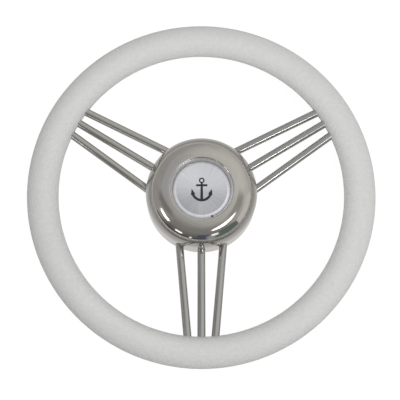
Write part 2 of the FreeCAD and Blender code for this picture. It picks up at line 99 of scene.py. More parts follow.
# Each card's name, azimuth, elevation, width, height, colour, strength and what else it differs in
CARDS = (
    ("lamp_card_left", 206, 28.5, 19, 9, WARM_WHITE, 4.0, dict(tilt=-4)),
    ("lamp_card_low_left", 237, 17, 12, 8, WARM_WHITE, 1.9, dict(distance=0.8)),
    ("lamp_card_low", 255, 8, 4, 8, WARM_WHITE, 1.3, dict()),
    ("lamp_card_right", 311.5, 47.5, 39, 9.5, COOL_WHITE, 3.4, dict(tilt=8, fade=0.25, square=2.3)),
    ("lamp_core_left", 207, 31, 14, 4, WARM_WHITE, 6.0, dict(tilt=-4, distance=0.365, fade=0.5)),
    ("lamp_core_right", 311.4, 48, 25, 5, COOL_WHITE, 11.0,
     dict(tilt=8, distance=0.369, fade=0.4, square=2.0)),
    ("lamp_card_low_right", 290, 21, 11, 11, COOL_WHITE, 1.5, dict(fade=0.3)),
    ("cool_card", 140, 58, 56, 36, (0.93, 0.95, 1.0, 1.0), 0.5, dict(distance=2.4, fade=0.7)),
    ("dusk_card", 192, 52, 38, 22, WARM_WHITE, 0.25, dict(tilt=41, distance=0.24, fade=0.6)),
    ("low_dark_card", 221, 4.5, 84, 5.5, (0.04, 0.038, 0.034, 1.0), 1.0, dict(distance=2.35, fade=0.3)),
    ("blue_card", 284, 10, 17, 26, (0.38, 0.41, 0.45, 1.0), 1.0, dict(distance=2.35, fade=0.6)),
    ("grey_card", 350, 52, 38, 42, (1.0, 0.985, 0.95, 1.0), 0.38, dict(distance=2.45, fade=0.6)),
    ("pale_card", 347, 10, 48, 36, (1.0, 0.98, 0.94, 1.0), 0.72, dict(distance=2.4, fade=0.3)),
    ("green_card", 309, 11, 48, 42, (0.15, 0.19, 0.165, 1.0), 1.0, dict(distance=2.45, fade=0.25)),
    ("navy_card", 273, 8, 21, 42, (0.1, 0.11, 0.155, 1.0), 1.0, dict(distance=2.4, fade=0.25)),
)


# Shader building helpers


def new_node(tree, kind, x, y, **values):
    """Adds a node at a place in the tree and sets its own properties."""
    node = tree.nodes.new(kind)
    node.location = (x, y)
    for name, value in values.items():
        setattr(node, name, value)
    return node


def set_inputs(node, **values):
    """Sets a node's inputs by name, with underscores for spaces."""
    for label, value in values.items():
        node.inputs[label.replace("_", " ")].default_value = value


def feed(tree, socket, value):
    """Sets a socket to a number, or links another socket to it."""
    if isinstance(value, (int, float)):
        socket.default_value = value
    else:
        tree.links.new(value, socket)


def calculate(tree, operation, x, y, *values):
    """Adds a Math node whose inputs are numbers or sockets, and returns its output."""
    node = new_node(tree, "ShaderNodeMath", x, y, operation=operation)
    for socket, value in zip(node.inputs, values):
        feed(tree, socket, value)
    return node.outputs[0]


def shifted(tree, x, y, level, other, share):
    """Adds nodes that move a level towards another one by a share, and returns the result."""
    change = calculate(tree, "SUBTRACT", x - 200, y, other, level)
    return calculate(tree, "MULTIPLY_ADD", x, y, share, change, level)


def vector_of(tree, x, y, *values):
    """Adds a Combine XYZ node whose inputs are numbers or sockets, and returns its output."""
    node = new_node(tree, "ShaderNodeCombineXYZ", x, y)
    for socket, value in zip(node.inputs, values):
        feed(tree, socket, value)
    return node.outputs[0]


def vector_math(tree, x, y, operation, first, second=None):
    """Adds a Vector Math node on a vector and perhaps a fixed second one, and returns its output."""
    node = new_node(tree, "ShaderNodeVectorMath", x, y, operation=operation)
    tree.links.new(first, node.inputs[0])
    if second is not None:
        node.inputs[1].default_value = second
    return node.outputs["Value" if operation in ("LENGTH", "DOT_PRODUCT") else "Vector"]


def object_points(tree, x=-1200, y=-300):
    """Adds the piece's Object coordinates, and returns their output."""
    return new_node(tree, "ShaderNodeTexCoord", x, y).outputs["Object"]


def split(tree, x, y, vector):
    """Adds a Separate XYZ node on a vector, and returns its three outputs."""
    node = new_node(tree, "ShaderNodeSeparateXYZ", x, y)
    tree.links.new(vector, node.inputs["Vector"])
    return node.outputs["X"], node.outputs["Y"], node.outputs["Z"]


def noise_of(tree, x, y, vector, scale, detail, roughness):
    """Adds a Noise Texture on a vector, and returns its grey output."""
    node = new_node(tree, "ShaderNodeTexNoise", x, y)
    tree.links.new(vector, node.inputs["Vector"])
    feed(tree, node.inputs["Scale"], scale)
    set_inputs(node, Detail=detail, Roughness=roughness)
    return node.outputs["Fac"]


def ranged(tree, x, y, value, from_low, from_high, to_low, to_high, soft=False):
    """Adds a clamped Map Range node, straight or with soft ends, and returns its output."""
    node = new_node(tree, "ShaderNodeMapRange", x, y, clamp=True)
    node.interpolation_type = "SMOOTHSTEP" if soft else "LINEAR"
    tree.links.new(value, node.inputs["Value"])
    set_inputs(node, From_Min=from_low, From_Max=from_high, To_Min=to_low, To_Max=to_high)
    return node.outputs["Result"]


def blended(tree, x, y, factor, first, second):
    """Adds a colour Mix node between two colours, and returns its output."""
    node = new_node(tree, "ShaderNodeMix", x, y, data_type="RGBA")
    tree.links.new(factor, node.inputs["Factor"])
    set_inputs(node, A=first, B=second)
    return node.outputs["Result"]


def shaded(colour, factor):
    """Returns a colour made darker or lighter by a factor, and opaque."""
    return (colour[0] * factor, colour[1] * factor, colour[2] * factor, 1.0)


def new_group(name, inputs, outputs):
    """Makes a shader node group with named float inputs and outputs, and returns its parts."""
    group = bpy.data.node_groups.new(name, "ShaderNodeTree")
    for label, default in inputs:
        socket = group.interface.new_socket(label, in_out="INPUT", socket_type="NodeSocketFloat")
        socket.default_value = default
    for label in outputs:
        group.interface.new_socket(label, in_out="OUTPUT", socket_type="NodeSocketFloat")
    start = new_node(group, "NodeGroupInput", -1200, 0)
    end = new_node(group, "NodeGroupOutput", 900, 0)
    return group, start, end


def put_out(group, end, **results):
    """Links a group's results to its outputs by name."""
    for label, result in results.items():
        group.links.new(result, end.inputs[label])


def place_group(tree, name, x, y, **values):
    """Places a shared group in a material and sets its inputs by name."""
    node = new_node(tree, "ShaderNodeGroup", x, y, node_tree=bpy.data.node_groups[name])
    set_inputs(node, **values)
    return node


# Shared surface effects


def make_fine_grain():
    """Fine grain of moulded skins: small rounded cells with finer noise on top, and soft mottling."""
    group, start, end = new_group(
        "fine grain", [("Grain", 1200.0), ("Mottle Scale", 90.0)], ["Height", "Mottle"]
    )
    points = object_points(group)
    cells = new_node(group, "ShaderNodeTexVoronoi", -500, 200, feature="SMOOTH_F1")
    set_inputs(cells, Smoothness=0.6)
    group.links.new(points, cells.inputs["Vector"])
    group.links.new(start.outputs["Grain"], cells.inputs["Scale"])
    rounded = ranged(group, -200, 200, cells.outputs["Distance"], 0.0, 0.7, 1.0, 0.0)
    finer = calculate(group, "MULTIPLY", -800, -100, start.outputs["Grain"], 2.7)
    speckle = noise_of(group, -500, -100, points, finer, 2.0, 0.55)
    weighted = calculate(group, "MULTIPLY", -200, -100, speckle, 0.45)
    height = calculate(group, "ADD", 100, 100, rounded, weighted)
    mottle = noise_of(group, -500, -400, points, start.outputs["Mottle Scale"], 3.0, 0.6)
    put_out(group, end, Height=height, Mottle=mottle)


def around_shaft(group):
    """Adds the parts of Object coordinates, and returns a point's distance from the shaft axis, the X and
    Y of its direction from it, and the three parts.
    """
    parts = split(group, -1000, -300, object_points(group))
    flat = vector_of(group, -800, -300, parts[0], parts[1], 0.0)
    radius = vector_math(group, -600, -150, "LENGTH", flat)
    facing = split(group, -400, -400, vector_math(group, -600, -400, "NORMALIZE", flat))
    return radius, facing[0], facing[1], parts


def put_out_lines(group, end, x, place, widening):
    """Puts out fine lines on a stretched place, and wider, softer streaks between them."""
    lines = noise_of(group, x, 0, place, 1.0, 2.0, 0.65)
    wide = vector_math(group, x - 200, -400, "MULTIPLY", place, widening)
    put_out(group, end, Height=lines, Streak=noise_of(group, x, -300, wide, 1.0, 3.0, 0.6))


def make_turned_marks():
    """Marks that run round the shaft axis, as a lathe or a polishing wheel leaves them."""
    group, start, end = new_group(
        "turned marks", [("Lines", 4000.0), ("Run", 5.0)], ["Height", "Streak"]
    )
    radius, facing_x, facing_y, parts = around_shaft(group)
    across = calculate(group, "ADD", -400, -100, radius, parts[2])
    lines = calculate(group, "MULTIPLY", -200, 0, across, start.outputs["Lines"])
    run_x = calculate(group, "MULTIPLY", -200, -250, facing_x, start.outputs["Run"])
    run_y = calculate(group, "MULTIPLY", -200, -400, facing_y, start.outputs["Run"])
    place = vector_of(group, 0, -150, lines, run_x, run_y)
    put_out_lines(group, end, 200, place, (0.12, 1.6, 1.6))


def make_sunray_marks():
    """Marks that run straight out from the shaft axis, as a sunray brush leaves them.

    The group also gives the distance out, the height on the disc, and a mask of the two lower wedges that
    the disc's finish darkens as painted shade.
    """
    group, start, end = new_group(
        "sunray marks", [("Rays", 60.0), ("Run", 90.0)], ["Height", "Streak", "Radius", "Up", "Wings"]
    )
    radius, facing_x, facing_y, parts = around_shaft(group)
    ray_x = calculate(group, "MULTIPLY", -200, -250, facing_x, start.outputs["Rays"])
    ray_y = calculate(group, "MULTIPLY", -200, -400, facing_y, start.outputs["Rays"])
    along = calculate(group, "MULTIPLY", -200, 0, radius, start.outputs["Run"])
    place = vector_of(group, 0, -150, ray_x, ray_y, along)
    lines = noise_of(group, 200, 0, place, 2.6, 2.0, 0.65)
    streak = noise_of(group, 200, -300, place, 0.35, 4.0, 0.68)
    # Painted shade: a mask that is largest on the lower left and lower right of the disc, where its colour
    # is painted darker.
    sideways = calculate(group, "ABSOLUTE", -200, -600, facing_x)
    downward = calculate(group, "MULTIPLY", -200, -750, facing_y, -2.0)
    downward = calculate(group, "MAXIMUM", 0, -750, downward, 0.0)
    painted_shade_wedges = calculate(group, "MULTIPLY", 200, -650, sideways, downward)
    put_out(group, end, Height=lines, Streak=streak, Radius=radius, Up=parts[1], Wings=painted_shade_wedges)


def make_drawn_marks():
    """Marks that run along a bar, as drawing and lengthwise polishing leave them."""
    group, start, end = new_group(
        "drawn marks", [("Heading", 0.0), ("Lines", 3000.0), ("Run", 30.0)], ["Height", "Streak"]
    )
    turned = new_node(group, "ShaderNodeVectorRotate", -900, -200, rotation_type="Z_AXIS", invert=True)
    group.links.new(object_points(group), turned.inputs["Vector"])
    group.links.new(start.outputs["Heading"], turned.inputs["Angle"])
    parts = split(group, -700, -200, turned.outputs["Vector"])
    along = calculate(group, "MULTIPLY", -500, 0, parts[0], start.outputs["Run"])
    across = calculate(group, "MULTIPLY", -500, -150, parts[1], start.outputs["Lines"])
    upward = calculate(group, "MULTIPLY", -500, -300, parts[2], start.outputs["Lines"])
    place = vector_of(group, -300, -150, along, across, upward)
    put_out_lines(group, end, -100, place, (1.6, 0.12, 0.12))


def make_handling_haze():
    """Soft patches where hands and cloths have passed, from 0 on clean metal to 1 on a smear."""
    group, start, end = new_group("handling haze", [("Patches", 22.0)], ["Mask"])
    points = object_points(group)
    patches = noise_of(group, -700, 100, points, start.outputs["Patches"], 4.0, 0.62)
    finer = calculate(group, "MULTIPLY", -900, -150, start.outputs["Patches"], 9.0)
    smears = noise_of(group, -700, -150, points, finer, 3.0, 0.7)
    broad = ranged(group, -400, 100, patches, 0.42, 0.68, 0.0, 1.0)
    broken = ranged(group, -400, -150, smears, 0.3, 0.7, 0.35, 1.0)
    put_out(group, end, Mask=calculate(group, "MULTIPLY", -100, 0, broad, broken))


def make_fine_scratches():
    """Sparse hairline scratches in two crossing directions, from 0 on clean metal to 1 in a scratch."""
    group, start, end = new_group("fine scratches", [("Density", 260.0)], ["Mask"])
    points = object_points(group)
    density = start.outputs["Density"]
    masks = []
    for turn, stretch, shift in ((0.5, 34.0, 0.0), (2.2, 27.0, 3.7)):
        row = -300 * turn
        turned = new_node(group, "ShaderNodeVectorRotate", -900, row, rotation_type="Z_AXIS")
        set_inputs(turned, Angle=turn)
        group.links.new(points, turned.inputs["Vector"])
        thin = new_node(group, "ShaderNodeVectorMath", -700, row, operation="MULTIPLY_ADD")
        group.links.new(turned.outputs["Vector"], thin.inputs[0])
        thin.inputs[1].default_value = (1.0 / stretch, 1.0, 0.4)
        thin.inputs[2].default_value = (shift, shift, 0.0)
        hair = noise_of(group, -500, row, thin.outputs["Vector"], density, 1.0, 0.5)
        masks.append(ranged(group, -250, row, hair, 0.7, 0.76, 0.0, 1.0))
    put_out(group, end, Mask=calculate(group, "MAXIMUM", 50, -200, *masks))


# Finishes


def new_finish(name, **values):
    """Makes a material with a Principled BSDF, and returns material, tree and shader.

    The shader's plain inputs are given by name, with underscores for spaces.
    """
    finish = bpy.data.materials.new(name)
    finish.use_nodes = True
    tree = finish.node_tree
    tree.nodes.clear()
    output = new_node(tree, "ShaderNodeOutputMaterial", 600, 0)
    shader = new_node(tree, "ShaderNodeBsdfPrincipled", 250, 0)
    set_inputs(shader, **values)
    tree.links.new(shader.outputs["BSDF"], output.inputs["Surface"])
    return finish, tree, shader


def haze_on(tree, patches):
    """Places the handling haze in a material, and returns its mask."""
    return place_group(tree, "handling haze", -900, -200, Patches=patches).outputs["Mask"]


def tint_by(tree, shader, factor, colour, darkest, lightest):
    """Lets a finish run between a darker and a lighter shade of its colour."""
    tint = blended(tree, -300, 300, factor, shaded(colour, darkest), shaded(colour, lightest))
    tree.links.new(tint, shader.inputs["Base Color"])


def relief(tree, shader, height, strength, depth):
    """Feeds a height into the shader's normal through one Bump node."""
    bump = new_node(tree, "ShaderNodeBump", 0, -500)
    set_inputs(bump, Strength=strength, Distance=depth)
    tree.links.new(height, bump.inputs["Height"])
    tree.links.new(bump.outputs["Normal"], shader.inputs["Normal"])


def grip_skin_finish(settings):
    """Soft-touch foam skin: pale grey, finely grained, with the mould's parting line on both equators."""
    finish, tree, shader = new_finish(
        "grip skin", Specular_IOR_Level=0.42, Sheen_Weight=0.06, Sheen_Roughness=0.5
    )
    grain = place_group(
        tree, "fine grain", -900, 100, Grain=1.0 / settings.grain_size, Mottle_Scale=260.0
    )
    mottled = ranged(tree, -600, 200, grain.outputs["Mottle"], 0.3, 0.7, 0.0, 1.0)
    tint_by(tree, shader, mottled, settings.colour, 0.965, 1.03)
    polished = calculate(tree, "MULTIPLY", -600, -200, haze_on(tree, 14.0), -0.08)
    rough = calculate(tree, "ADD", -300, -150, polished, settings.roughness)
    tree.links.new(rough, shader.inputs["Roughness"])
    height = split(tree, -1000, -700, object_points(tree, -1200, -700))[2]
    above = calculate(tree, "SUBTRACT", -800, -700, height, GRIP_MIDDLE)
    distance = calculate(tree, "ABSOLUTE", -600, -700, above)
    seam = ranged(tree, -400, -700, distance, 0.0, SEAM_HALF_WIDTH, 1.6, 0.0)
    bumps = calculate(tree, "ADD", -200, -600, grain.outputs["Height"], seam)
    relief(tree, shader, bumps, 1.0, settings.grain_depth)
    return finish


def steel_finish(name, settings, heading=None):
    """Polished stainless steel with faint polishing marks, hairline scratches and handling haze.

    The marks run round the shaft axis, or along a spoke where its heading is given. Drawn bar stock is a
    shade darker and cooler than the spun cover.
    """
    finish, tree, shader = new_finish(name, Metallic=1.0)
    if heading is None:
        steel = settings.cover_colour
        marks = place_group(tree, "turned marks", -900, 200, Lines=2600.0, Run=4.0)
    else:
        steel = settings.bar_colour
        marks = place_group(tree, "drawn marks", -900, 200, Heading=heading, Lines=2400.0, Run=35.0)
    tint_by(tree, shader, marks.outputs["Streak"], steel, 0.94, 1.05)
    scratches = place_group(tree, "fine scratches", -900, -450, Density=210.0).outputs["Mask"]
    dulled = calculate(tree, "MULTIPLY_ADD", -600, 0, haze_on(tree, 24.0), 0.06, settings.roughness)
    streaked = calculate(tree, "MULTIPLY_ADD", -400, 0, marks.outputs["Streak"], 0.04, dulled)
    rough = calculate(tree, "MULTIPLY_ADD", -200, 0, scratches, 0.12, streaked)
    tree.links.new(rough, shader.inputs["Roughness"])
    height = calculate(tree, "MULTIPLY_ADD", -400, -400, scratches, -1.5, marks.outputs["Height"])
    relief(tree, shader, height, 0.25, settings.mark_depth)
    return finish


def machined_finish(name, colour, roughness, lines):
    """Machined steel: lathe rings that catch the light, slightly darker in places."""
    finish, tree, shader = new_finish(name, Metallic=1.0)
    marks = place_group(tree, "turned marks", -900, 200, Lines=lines, Run=1.5)
    tint_by(tree, shader, marks.outputs["Streak"], colour, 0.8, 1.12)
    rough = calculate(tree, "MULTIPLY_ADD", -400, 0, haze_on(tree, 45.0), 0.16, roughness)
    tree.links.new(rough, shader.inputs["Roughness"])
    relief(tree, shader, marks.outputs["Height"], 0.5, 0.00003)
    return finish


def brushed_disc_finish(settings):
    """Sunray-brushed, anodised aluminium with a plain rounded edge, and painted light and shade in its
    colour.
    """
    finish, tree, shader = new_finish("brushed disc", Anisotropic=0.7, Anisotropic_Rotation=0.25)
    tangent = new_node(tree, "ShaderNodeTangent", 0, -800, direction_type="RADIAL", axis="Z")
    tree.links.new(tangent.outputs["Tangent"], shader.inputs["Tangent"])
    marks = place_group(tree, "sunray marks", -1200, 200, Rays=60.0, Run=70.0)
    edge = ranged(tree, -900, -350, marks.outputs["Radius"], FLAT_RADIUS, FLAT_RADIUS + DISC_EDGE_BLEND,
                  0.0, 1.0)
    disc = settings.disc_colour
    tint = blended(tree, -600, 400, marks.outputs["Streak"], shaded(disc, 0.8), shaded(disc, 1.22))
    # Painted light and shade: the flat part is lighter towards the top, darker towards the bottom, and
    # darker again in the two lower wedges.
    painted_face_light = ranged(tree, -900, 600, marks.outputs["Up"], -0.016, 0.016, 0.85, 1.14, soft=True)
    painted_face_light = calculate(tree, "MULTIPLY_ADD", -700, 600, marks.outputs["Wings"], -0.09, painted_face_light)
    # Painted highlight: the rounded edge is lighter on its lower side and darker on its upper side.
    rounded = ranged(tree, -900, 850, marks.outputs["Up"], -0.008, 0.014, 1.16, 0.92, soft=True)
    # level carries the painted light and shade: that of the flat part gives way to the edge's painted
    # highlight across the edge.
    level = shifted(tree, -500, 700, painted_face_light, rounded, edge)
    # The disc's colour is multiplied by the painted light and shade here.
    lit = new_node(tree, "ShaderNodeMix", -300, 500, data_type="RGBA", blend_type="MULTIPLY")
    set_inputs(lit, Factor=1.0)
    tree.links.new(tint, lit.inputs["A"])
    tree.links.new(level, lit.inputs["B"])
    tree.links.new(lit.outputs["Result"], shader.inputs["Base Color"])
    metal = ranged(tree, -150, 150, edge, 0.0, 1.0, 0.62, 0.12)
    tree.links.new(metal, shader.inputs["Metallic"])
    rough = calculate(tree, "MULTIPLY_ADD", -400, -100, haze_on(tree, 60.0), 0.05, 0.36)
    smoother = calculate(tree, "MULTIPLY_ADD", -150, -100, edge, -0.1, rough)
    tree.links.new(smoother, shader.inputs["Roughness"])
    relief(tree, shader, marks.outputs["Height"], 0.35, 0.00002)
    return finish


def enamel_finish(settings):
    """Dark navy enamel that fills the emblem, glossy and slightly uneven."""
    finish, tree, shader = new_finish("navy enamel", Coat_Weight=0.4, Coat_Roughness=0.12)
    grain = place_group(tree, "fine grain", -900, 100, Grain=2200.0, Mottle_Scale=420.0)
    tint_by(tree, shader, grain.outputs["Mottle"], settings.emblem_colour, 0.8, 1.25)
    rough = ranged(tree, -300, -100, grain.outputs["Mottle"], 0.2, 0.8, 0.3, 0.42)
    tree.links.new(rough, shader.inputs["Roughness"])
    relief(tree, shader, grain.outputs["Height"], 0.2, 0.00002)
    return finish


def moulded_plastic_finish(name, colour):
    """Black moulded plastic with a spark-eroded texture, rubbed a little smoother in patches."""
    finish, tree, shader = new_finish(name, Specular_IOR_Level=0.45)
    grain = place_group(tree, "fine grain", -900, 100, Grain=1900.0, Mottle_Scale=160.0)
    haze = haze_on(tree, 30.0)
    tint_by(tree, shader, haze, colour, 0.9, 1.9)
    rough = calculate(tree, "MULTIPLY_ADD", -400, -100, haze, -0.14, 0.58)
    tree.links.new(rough, shader.inputs["Roughness"])
    relief(tree, shader, grain.outputs["Height"], 0.6, 0.00005)
    return finish


def rubber_finish(name, colour):
    """Matte black rubber with a faint bloom."""
    finish, tree, shader = new_finish(name, Specular_IOR_Level=0.3)
    grain = place_group(tree, "fine grain", -900, 100, Grain=2600.0, Mottle_Scale=300.0)
    tint_by(tree, shader, grain.outputs["Mottle"], colour, 0.8, 2.0)
    rough = ranged(tree, -300, -100, grain.outputs["Mottle"], 0.2, 0.8, 0.62, 0.8)
    tree.links.new(rough, shader.inputs["Roughness"])
    relief(tree, shader, grain.outputs["Height"], 0.4, 0.00003)
    return finish


def record_colour(slot):
    """Returns the plain colour that the wheel's record gives a material slot."""
    for material in frame["record"]["materials"]:
        if material["slot"] == slot:
            return (*material["base_color"], 1.0)
    raise RuntimeError(f"the record has no material slot named {slot}")


def dress(node_name, finish):
    """Gives one of the wheel's solids its finish."""
    frame["nodes"][node_name].material_slots[0].material = finish


# Emblem pieces


def new_piece(shape, name, material):
    """Turns a bmesh into an object with one material, and returns it."""
    mesh = bpy.data.meshes.new(name)
    shape.to_mesh(mesh)
    shape.free()
    mesh.materials.append(material)
    piece = bpy.data.objects.new(name, mesh)
    bpy.context.scene.collection.objects.link(piece)
    return piece


def finish_piece(shape, name, finish):
    """Turns a closed bmesh into a piece of the wheel with one finish, and returns it."""
    bmesh.ops.recalc_face_normals(shape, faces=shape.faces[:])
    return new_piece(shape, name, finish)


def raised_outline(corners, height, place, corner=0.0):
    """A flat shape through the corners, raised to a height, with its upright edges rounded."""
    shape = bmesh.new()
    points = [shape.verts.new((across, up, -height / 2)) for across, up in corners]
    shape.faces.new(points)
    raised = bmesh.ops.extrude_face_region(shape, geom=shape.faces[:])
    top = [item for item in raised["geom"] if isinstance(item, bmesh.types.BMVert)]
    bmesh.ops.translate(shape, vec=(0, 0, height), verts=top)
    if corner:
        upright = []
        for edge in shape.edges:
            first, second = edge.verts
            if abs(first.co.z - second.co.z) > height / 2:
                upright.append(edge)
        bmesh.ops.bevel(shape, geom=upright, offset=corner, affect="EDGES", segments=6, profile=0.5,
                        material=-1)
    bmesh.ops.translate(shape, vec=place, verts=shape.verts[:])
    return shape


def arc_band(radius, width, height, place, start, sweep, steps):
    """A flat band that runs round a place on the disc, as a whole ring or as an arc."""
    band = bmesh.new()
    low, high = radius - width / 2, radius + width / 2
    section = ((low, -height / 2), (high, -height / 2), (high, height / 2), (low, height / 2))
    points = [band.verts.new((across, 0.0, up)) for across, up in section]
    for first, second in zip(points, points[1:] + points[:1]):
        band.edges.new((first, second))
    bmesh.ops.rotate(band, cent=(0, 0, 0), matrix=Matrix.Rotation(start, 3, "Z"), verts=band.verts[:])
    whole = abs(sweep - math.tau) < 1e-6
    bmesh.ops.spin(band, geom=band.verts[:] + band.edges[:], cent=(0, 0, 0), axis=(0, 0, 1), angle=sweep,
                   steps=steps, use_merge=whole)
    open_ends = [edge for edge in band.edges if len(edge.link_faces) == 1]
    bmesh.ops.holes_fill(band, edges=open_ends, sides=4)
    bmesh.ops.translate(band, vec=place, verts=band.verts[:])
    return band


def anchor_solids(unit, thick, level):
    """The shank, stock, ring, arms and two flukes of a plain anchor that is 24 units high."""

    def spot(x, y):
        return Vector((x * unit, y * unit, level))

    def outline(corners, turn=0.0, side=1):
        across, up = math.cos(turn) * unit, math.sin(turn) * unit
        points = [((x * across - y * up) * side, x * up + y * across) for x, y in corners]
        return points[::side]

    shank = outline(((-1.45, -10.9), (1.45, -10.9), (1.0, 7.0), (-1.0, 7.0)))
    stock = outline(((-5.7, -1.05), (5.7, -1.05), (5.7, 1.05), (-5.7, 1.05)))
    fluke = ((-2.3, -2.6), (2.3, -2.6), (0.0, 3.4))
    lean = math.radians(-14)
    half_sweep = math.radians(78)
    return [
        raised_outline(shank, thick, spot(0, 0)),
        raised_outline(stock, thick, spot(0, 4.3), corner=0.9 * unit),
        arc_band(2.15 * unit, 1.3 * unit, thick, spot(0, 9.2), 0.0, math.tau, 48),
        arc_band(9.3 * unit, 2.5 * unit, thick, spot(0, -1.4), math.radians(270) - half_sweep,
                 2 * half_sweep, 56),
        raised_outline(outline(fluke, lean), thick, spot(9.1, -2.6), corner=0.25 * unit),
        raised_outline(outline(fluke, lean, -1), thick, spot(-9.1, -2.6), corner=0.25 * unit),
    ]


def weld_solids(name, solids, finish, edge_round):
    """Joins overlapping closed shapes into one closed piece, rounds its upper edges, and returns it."""
    pieces = [finish_piece(solid, f"{name}_{index}", finish) for index, solid in enumerate(solids)]
    whole = pieces[0]
    for other in pieces[1:]:
        union = whole.modifiers.new("union", "BOOLEAN")
        union.operation = "UNION"
        union.solver = "EXACT"
        union.object = other
    bpy.context.view_layer.update()
    joined = bpy.data.meshes.new_from_object(whole.evaluated_get(bpy.context.evaluated_depsgraph_get()))
    for piece in pieces:
        bpy.data.objects.remove(piece)
    shape = bmesh.new()
    shape.from_mesh(joined)
    bpy.data.meshes.remove(joined)
    bmesh.ops.remove_doubles(shape, verts=shape.verts[:], dist=edge_round / 6)
    bmesh.ops.dissolve_limit(shape, angle_limit=math.radians(0.5), verts=shape.verts[:],
                             edges=shape.edges[:])
    highest = max(vertex.co.z for vertex in shape.verts)
    rim = [edge for edge in shape.edges if edge.calc_face_angle(0.0) > math.radians(60)
           and min(vertex.co.z for vertex in edge.verts) > highest - edge_round / 9]
    bmesh.ops.bevel(shape, geom=rim, offset=edge_round, affect="EDGES", segments=3, profile=0.5,
                    material=-1, clamp_overlap=True)
    return finish_piece(shape, name, finish)


# Settings


class WheelGripSettings(bpy.types.PropertyGroup):
    """Look of the moulded grip."""

    colour: bpy.props.FloatVectorProperty(
        name="Skin colour", description="Colour of the grip's foam skin", subtype="COLOR", size=4,
        min=0.0, max=1.0, default=(0.65, 0.65, 0.643, 1.0))
    roughness: bpy.props.FloatProperty(
        name="Skin roughness", description="How matte the skin is away from hands", subtype="FACTOR",
        min=0.0, max=1.0, default=0.6)
    grain_size: bpy.props.FloatProperty(
        name="Grain size", description="Width of one grain of the skin", unit="LENGTH",
        min=0.0002, max=0.005, default=0.0013)
    grain_depth: bpy.props.FloatProperty(
        name="Grain depth", description="Depth of the skin's grain", unit="LENGTH",
        min=0.0, max=0.0005, default=0.00032)


class WheelSteelSettings(bpy.types.PropertyGroup):
    """Look of the polished cover and bars."""

    cover_colour: bpy.props.FloatVectorProperty(
        name="Cover colour", description="Colour of the spun, polished cover", subtype="COLOR",
        size=4, min=0.0, max=1.0, default=(0.62, 0.60, 0.57, 1.0))
    bar_colour: bpy.props.FloatVectorProperty(
        name="Bar colour", description="Colour of the drawn, polished bars", subtype="COLOR",
        size=4, min=0.0, max=1.0, default=(0.52, 0.513, 0.496, 1.0))
    roughness: bpy.props.FloatProperty(
        name="Polish", description="Roughness of clean, polished steel", subtype="FACTOR",
        min=0.0, max=1.0, default=0.05)
    mark_depth: bpy.props.FloatProperty(
        name="Mark depth", description="Depth of the polishing marks", unit="LENGTH",
        min=0.0, max=0.0001, default=0.000006)


class WheelDiscSettings(bpy.types.PropertyGroup):
    """Look of the centre disc and its emblem."""

    disc_colour: bpy.props.FloatVectorProperty(
        name="Disc colour", description="Colour of the brushed disc", subtype="COLOR", size=4,
        min=0.0, max=1.0, default=(0.66, 0.67, 0.71, 1.0))
    emblem_colour: bpy.props.FloatVectorProperty(
        name="Enamel colour", description="Colour of the emblem's enamel", subtype="COLOR", size=4,
        min=0.0, max=1.0, default=(0.008, 0.008, 0.017, 1.0))
    emblem_height: bpy.props.FloatProperty(
        name="Emblem height", description="Height of the anchor on the disc", unit="LENGTH",
        min=0.01, max=0.04, default=0.024)
    emblem_relief: bpy.props.FloatProperty(
        name="Emblem relief", description="How far the enamel stands above the disc", unit="LENGTH",
        min=0.00002, max=0.001, default=0.00012)


class WheelStageSettings(bpy.types.PropertyGroup):
    """Floor, lamps and camera."""

    floor_colour: bpy.props.FloatVectorProperty(
        name="Floor colour", description="Colour of the floor", subtype="COLOR", size=4,
        min=0.0, max=1.0, default=(0.8, 0.8, 0.8, 1.0))
    lamp_level: bpy.props.FloatProperty(
        name="Lamp level", description="Share of the plain lamp level", subtype="FACTOR",
        min=0.0, soft_max=2.0, default=1.0)
    sky_level: bpy.props.FloatProperty(
        name="Sky level", description="Even light from all round", subtype="FACTOR",
        min=0.0, soft_max=2.0, default=0.56)
    lens: bpy.props.FloatProperty(
        name="Lens", description="Focal length on a 36 mm wide sensor", unit="CAMERA",
        min=10.0, max=300.0, default=98.836)


# Operators


class WHEEL_OT_surface_effects(bpy.types.Operator):
    """Make the grain, mark, haze and scratch groups that the finishes share"""

    bl_idname = "wheel.surface_effects"
    bl_label = "Make surface effects"

    def execute(self, context):
        make_fine_grain()
        make_turned_marks()
        make_sunray_marks()
        make_drawn_marks()
        make_handling_haze()
        make_fine_scratches()
        return {"FINISHED"}


class WHEEL_OT_finish_grip(bpy.types.Operator):
    """Give the moulded rim grip its grained skin"""

    bl_idname = "wheel.finish_grip"
    bl_label = "Finish grip"

    def execute(self, context):
        dress("rim_grip", grip_skin_finish(context.scene.wheel_grip))
        return {"FINISHED"}


class WHEEL_OT_finish_bars(bpy.types.Operator):
    """Polish the nine spoke bars, with marks that run along each spoke"""

    bl_idname = "wheel.finish_bars"
    bl_label = "Finish spoke bars"

    def execute(self, context):
        for spoke, heading in SPOKE_HEADINGS.items():
            polish = steel_finish(f"polished bars {spoke}", context.scene.wheel_steel, heading)
            for number in (1, 2, 3):
                dress(f"{spoke}_spoke_bar_{number}", polish)
        return {"FINISHED"}


class WHEEL_OT_finish_cover(bpy.types.Operator):
    """Polish the dished hub cover, with marks that run round it"""

    bl_idname = "wheel.finish_cover"
    bl_label = "Finish hub cover"

    def execute(self, context):
        dress("hub_cover", steel_finish("polished cover", context.scene.wheel_steel))
        return {"FINISHED"}


